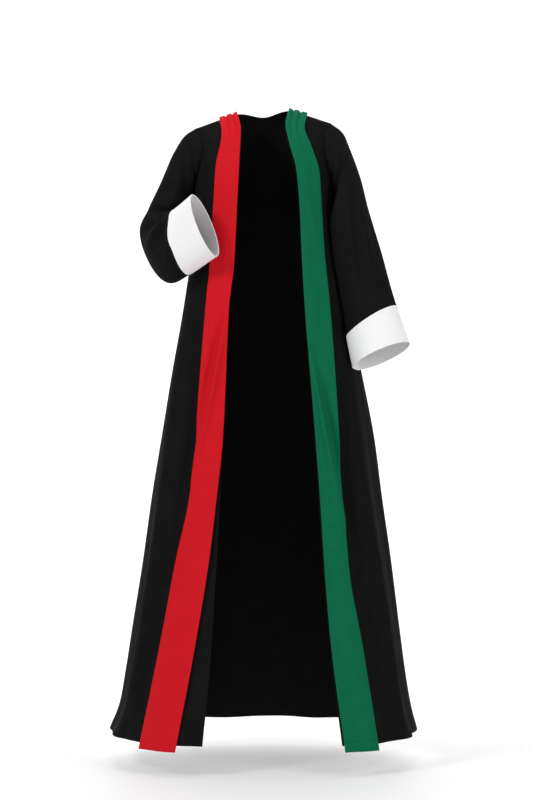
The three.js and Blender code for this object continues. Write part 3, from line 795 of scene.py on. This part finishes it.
# %% Tables of the bands
BANDS = {
    "red": {
        "side": RIGHT,
        "edges": {
            "drop": [0, 48, 125, 228, 367, 450, 770, 896, 1048, 1234, 1480],
            "inner": [62, 52, 55, 60, 67, 77, 92, 105, 123, 153, 199],
            "outer": [104, 97, 110, 116, 124, 132, 157, 168, 200, 235, 285],
        },
        "crease": {"from": 470, "to": 850, "height": 9, "width": 0.36},
        "folds": [
            {"line": [(-78, -440), (-129, -726), (-164, -870)], "height": 5, "width": 5},
            {"line": [(-92, -430), (-143, -726), (-172, -840)], "height": -8.5, "width": 8},
            {"line": [(-82, -300), (-76, -380), (-80, -470)], "height": -3, "width": 6},
        ],
    },
    "green": {
        "side": LEFT,
        "edges": {
            "drop": [0, 40, 84, 142, 228, 342, 450, 770, 905, 1080, 1236, 1480],
            "inner": [62, 53, 61, 77, 85, 90, 96, 121, 131, 142, 155, 187],
            "outer": [106, 98, 114, 132, 137, 144, 155, 177, 185, 199, 227, 266],
        },
        "crease": {"from": 520, "to": 1080, "height": 10, "width": 0.34},
        "folds": [
            {"line": [(104, -550), (150, -790), (190, -975)], "height": 5, "width": 5},
            {"line": [(120, -540), (166, -790), (199, -940)], "height": -10, "width": 10},
            {"line": [(92, -140), (112, -230), (124, -330)], "height": 2, "width": 9},
        ],
    },
}
print("the bands start", 2 * BANDS["red"]["edges"]["inner"][0], "mm apart at the neck points")

# %% [markdown]
# A band's height above the front is a sum: a flat rest, its hang below the chest, its tucks, the ridge and a
# faint wave. The angle on the body is found again at that height, so the measured edges stay where they are.

# %% Bands
BAND_OVERHANG = 15  # how far the bands end below the robe's hem
BAND_REST = 2.3  # height of the band's middle above the front's, at the shoulder seam
BAND_LIFT = 3  # how much further off it hangs below the tucks
BAND_WAVE = 0.9
TUCK_LENGTH = 120
TUCK_HEIGHT = 4
TUCK_WIDTH = 0.07  # shares of the band's width, like the places of its two valleys
TUCK_PLACES = (3 / 8, 6 / 8)
BAND_WALL = 1.6
BAND_EDGES = {"hem": (24, 2.0), "start": (4, 1.8), "end": (4, 1.8)}
BAND_STITCHES = 23  # from the hem
BAND_THREAD_OUT = 1.1


def band_grid(plan):
    """A band's grid: the front's surface between the band's two edges, moved out."""
    side = plan["side"]
    inner = through(plan["edges"], "drop", "inner")
    outer = through(plan["edges"], "drop", "outer")
    end = 1 + (LENGTH + BAND_OVERHANG - UNDERARM) / (LENGTH - UNDERARM)
    levels = np.concatenate([YOKE, np.linspace(1, end, 262)])[:, None]
    drop = drop_of(levels)
    across = crowded(40, 0.01)[None, :]
    place = across if side == RIGHT else 1 - across
    ridge = plan["crease"]
    t = (drop - ridge["from"]) / (ridge["to"] - ridge["from"])
    away = np.abs(place - (1 - t)) / ridge["width"]
    bulge = ridge["height"] * np.sin(np.pi * np.clip(t, 0, 1)) * (1 - smooth(away))
    valley = np.minimum(*(np.abs(place - middle) for middle in TUCK_PLACES))
    fade = smooth(1 - drop / TUCK_LENGTH)
    tuck = TUCK_HEIGHT * fade * (1 - np.exp(-((valley / TUCK_WIDTH) ** 2)))
    hang = BAND_LIFT * smooth(drop / TUCK_LENGTH)
    wave = BAND_WAVE * np.sin(place * 9 + drop * 0.004) * smooth((drop - 150) / 300)
    off = BAND_REST + hang + tuck + bulge + wave
    angle = angle_at(blend(outer(drop), inner(drop), place), levels, side, off)
    return body_point(angle, levels, False) + off[..., None] * body_normal(angle, levels)


band_lines = {}
for name, plan in BANDS.items():
    grid = creased(band_grid(plan), plan["folds"], False)
    finish, under = (red_crepe, "front_right") if name == "red" else (green_crepe, "front_left")
    wall = thickness(grid, BAND_WALL, BAND_EDGES)
    band = cloth(f"band_{name}_cloth", grid, wall, finish)
    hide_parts(f"band_{name}")
    normals = grid_normals(grid, False)
    up = along(grid, 0)[-1:] - along(grid, 0)
    row = int(np.argmin(np.abs(up.mean(axis=1) - BAND_STITCHES)))
    band_lines[name] = [grid[row, 3:-3] + normals[row, 3:-3] * BAND_THREAD_OUT]

# %% [markdown]
# Stitches repeat along a line, which is work for Geometry Nodes: the line is walked at the stitch spacing and
# a short rounded thread is set at each step, turned along the line. A machine stitch here is 2.6 mm long with
# 3.4 mm from one to the next. Instances are made real and given their material, so they survive an export.

# %% Nodes that sew
STITCH_INPUTS = {
    "Line": "NodeSocketGeometry",
    "Pitch": "NodeSocketFloat",
    "Stitch length": "NodeSocketFloat",
    "Thread thickness": "NodeSocketFloat",
    "Thread": "NodeSocketMaterial",
}


def stitch_tree():
    """Sets a rounded thread at each step of a line, turned along it."""
    tree = bpy.data.node_groups.new("top_stitching", "GeometryNodeTree")
    tree.is_modifier = True
    for name, kind in STITCH_INPUTS.items():
        tree.interface.new_socket(name, in_out="INPUT", socket_type=kind)
    tree.interface.new_socket("Stitches", in_out="OUTPUT", socket_type="NodeSocketGeometry")
    given = node(tree, "NodeGroupInput")
    curve = node(tree, "GeometryNodeMeshToCurve", links={0: given.outputs["Line"]})
    walked = node(
        tree,
        "GeometryNodeResampleCurve",
        None,
        {"Curve": curve.outputs[0], "Length": given.outputs["Pitch"]},
        mode="LENGTH",
    )
    ball = node(tree, "GeometryNodeMeshUVSphere", {"Segments": 6, "Rings": 4, "Radius": 0.5})
    size = node(
        tree,
        "ShaderNodeCombineXYZ",
        None,
        {
            0: given.outputs["Thread thickness"],
            1: given.outputs["Thread thickness"],
            2: given.outputs["Stitch length"],
        },
    )
    way = node(tree, "GeometryNodeInputTangent")
    turned = node(tree, "FunctionNodeAlignRotationToVector", None, {"Vector": way.outputs[0]}, axis="Z")
    set_down = node(
        tree,
        "GeometryNodeInstanceOnPoints",
        None,
        {
            "Points": walked.outputs[0],
            "Instance": ball.outputs[0],
            "Rotation": turned.outputs[0],
            "Scale": size.outputs[0],
        },
    )
    real = node(tree, "GeometryNodeRealizeInstances", links={0: set_down.outputs[0]})
    coloured = node(
        tree,
        "GeometryNodeSetMaterial",
        None,
        {0: real.outputs[0], "Material": given.outputs["Thread"]},
    )
    node(tree, "NodeGroupOutput", links={0: coloured.outputs[0]})
    return tree


stitching = stitch_tree()
sockets = {item.name: item.identifier for item in stitching.interface.items_tree if item.in_out == "INPUT"}
print("sewing nodes:", len(stitching.nodes), "with inputs", ", ".join(sockets))

# %% [markdown]
# The cuffs are stitched beside the seam and beside the mouth, and each band across its turned-up hem. The
# thread has the colour of its cloth, so a row shows as a fine relief, not as a line of another colour.

# %% Rows of stitching
STITCH_LENGTH = 0.0026
STITCH_PITCH = 0.0034
THREAD_THICK = 0.0007


def stitches(name, lines, finish, closed):
    """Rows of top stitching along lines of points in millimetres, as one plain mesh."""
    points, edges = [], []
    for line in lines:
        start = len(points)
        points += (np.asarray(line) / 1000).tolist()
        edges += [(start + i, start + i + 1) for i in range(len(line) - 1)]
        if closed:
            edges.append((len(points) - 1, start))
    mesh = bpy.data.meshes.new(name + "_line")
    mesh.from_pydata(points, edges, [])
    path = bpy.data.objects.new(name + "_line", mesh)
    bpy.context.scene.collection.objects.link(path)
    sewing = path.modifiers.new("sewing", "NODES")
    sewing.node_group = stitching
    sewing[sockets["Pitch"]] = STITCH_PITCH
    sewing[sockets["Stitch length"]] = STITCH_LENGTH
    sewing[sockets["Thread thickness"]] = THREAD_THICK
    sewing[sockets["Thread"]] = finish
    seen = path.evaluated_get(bpy.context.evaluated_depsgraph_get())
    sewn = bpy.data.meshes.new_from_object(seen)
    bpy.data.objects.remove(path)
    piece = bpy.data.objects.new(name, sewn)
    sewn.polygons.foreach_set("use_smooth", np.ones(len(sewn.polygons), bool))
    bpy.context.scene.collection.objects.link(piece)
    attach(piece, "root")
    print(name, len(sewn.polygons), "faces")
    return piece


stitches("cuff_stitches", cuff_lines, white_crepe, True)
stitches("red_stitches", band_lines["red"], red_crepe, False)
stitches("green_stitches", band_lines["green"], green_crepe, False)

# %% [markdown]
# The studio is a pale paper floor, a little below the hem, that curves up into a backdrop. The paper glows
# faintly, which keeps the shadow on it light. It is clear from behind, so that the robe's back can be seen.

# %% Floor
FLOOR = -1.537
FLOOR_HALF = 7.0
SWEEP = [
    (-8.0, 0.0),
    (1.2, 0.0),
    (1.7, 0.03),
    (2.1, 0.14),
    (2.4, 0.34),
    (2.6, 0.64),
    (2.68, 1.0),
    (2.7, 5.0),
]
points = [(x, y, FLOOR + z) for y, z in SWEEP for x in (-FLOOR_HALF, FLOOR_HALF)]
quads = [(2 * i, 2 * i + 1, 2 * i + 3, 2 * i + 2) for i in range(len(SWEEP) - 1)]
sweep = bpy.data.meshes.new("studio_sweep")
sweep.from_pydata(points, [], quads)
sweep.polygons.foreach_set("use_smooth", np.ones(len(quads), bool))
paper = bpy.data.materials.new("white_paper")
paper.use_nodes = True
lit = paper.node_tree.nodes["Principled BSDF"]
lit.inputs["Base Color"].default_value = linear("C4C4C5")
lit.inputs["Emission Color"].default_value = linear("FFFFFF")
lit.inputs["Emission Strength"].default_value = 0.42
lit.inputs["Roughness"].default_value = 0.55
face = node(paper.node_tree, "ShaderNodeNewGeometry")
clear = node(paper.node_tree, "ShaderNodeBsdfTransparent")
one_sided = node(
    paper.node_tree,
    "ShaderNodeMixShader",
    links={0: face.outputs["Backfacing"], 1: lit.outputs[0], 2: clear.outputs[0]},
)
surface = paper.node_tree.nodes["Material Output"].inputs["Surface"]
paper.node_tree.links.new(one_sided.outputs[0], surface)
sweep.materials.append(paper)
studio = bpy.data.objects.new("studio_sweep", sweep)
bpy.context.scene.collection.objects.link(studio)
print("floor", round(-LENGTH / 1000 - FLOOR, 3), "m below the hem line")

# %% [markdown]
# Two broad lights in front model the folds, one from above softens them, and two behind the robe face the
# backdrop alone. They leave the black cloth dark at its sides, as the picture has it.

# %% Light


def soft_light(name, place, aim, size, power):
    """A square area light at a place, turned towards a point."""
    lamp = bpy.data.lights.new(name, "AREA")
    lamp.size = size
    lamp.energy = power
    holder = bpy.data.objects.new(name, lamp)
    holder.location = place
    holder.rotation_euler = (Vector(aim) - Vector(place)).to_track_quat("-Z", "Y").to_euler()
    bpy.context.scene.collection.objects.link(holder)


soft_light("key", (-2.9, -3.0, 2.0), (0, 0, -0.25), 1.1, 90)
soft_light("fill", (3.0, -3.2, 1.4), (0, 0, -0.4), 1.6, 58)
soft_light("top", (0.0, 0.2, 3.0), (0, 0, -0.6), 2.6, 48)
soft_light("backdrop_left", (-1.7, 0.6, -0.2), (-1.5, 2.7, -0.5), 1.6, 42)
soft_light("backdrop_right", (1.7, 0.6, -0.2), (1.5, 2.7, -0.5), 1.6, 42)
world = bpy.data.worlds.new("studio_air")
bpy.context.scene.world = world
world.use_nodes = True
world.node_tree.nodes["Background"].inputs["Color"].default_value = (1.0, 1.0, 1.0, 1.0)
world.node_tree.nodes["Background"].inputs["Strength"].default_value = 0.30
print(len(bpy.data.lights), "lights")

# %% [markdown]
# The camera stands 6.2 m away, about half way up the robe, level and square on. Its view is as high as it has
# to be to frame the robe as the picture does.

# %% Camera
CAMERA_PLACE = (0.0083, -6.2, -0.6802)
VIEW_HALF = 0.948  # half the height that is in view at the robe's middle
lens = bpy.data.cameras.new("camera")
lens.sensor_fit = "VERTICAL"
lens.angle = 2 * math.atan(VIEW_HALF / -CAMERA_PLACE[1])
camera = bpy.data.objects.new("camera", lens)
camera.location = CAMERA_PLACE
camera.rotation_euler = (math.pi / 2, 0, 0)
bpy.context.scene.collection.objects.link(camera)
bpy.context.scene.camera = camera
bpy.context.scene.view_settings.view_transform = "Standard"
print("angle of view", round(math.degrees(lens.angle), 1), "degrees high")
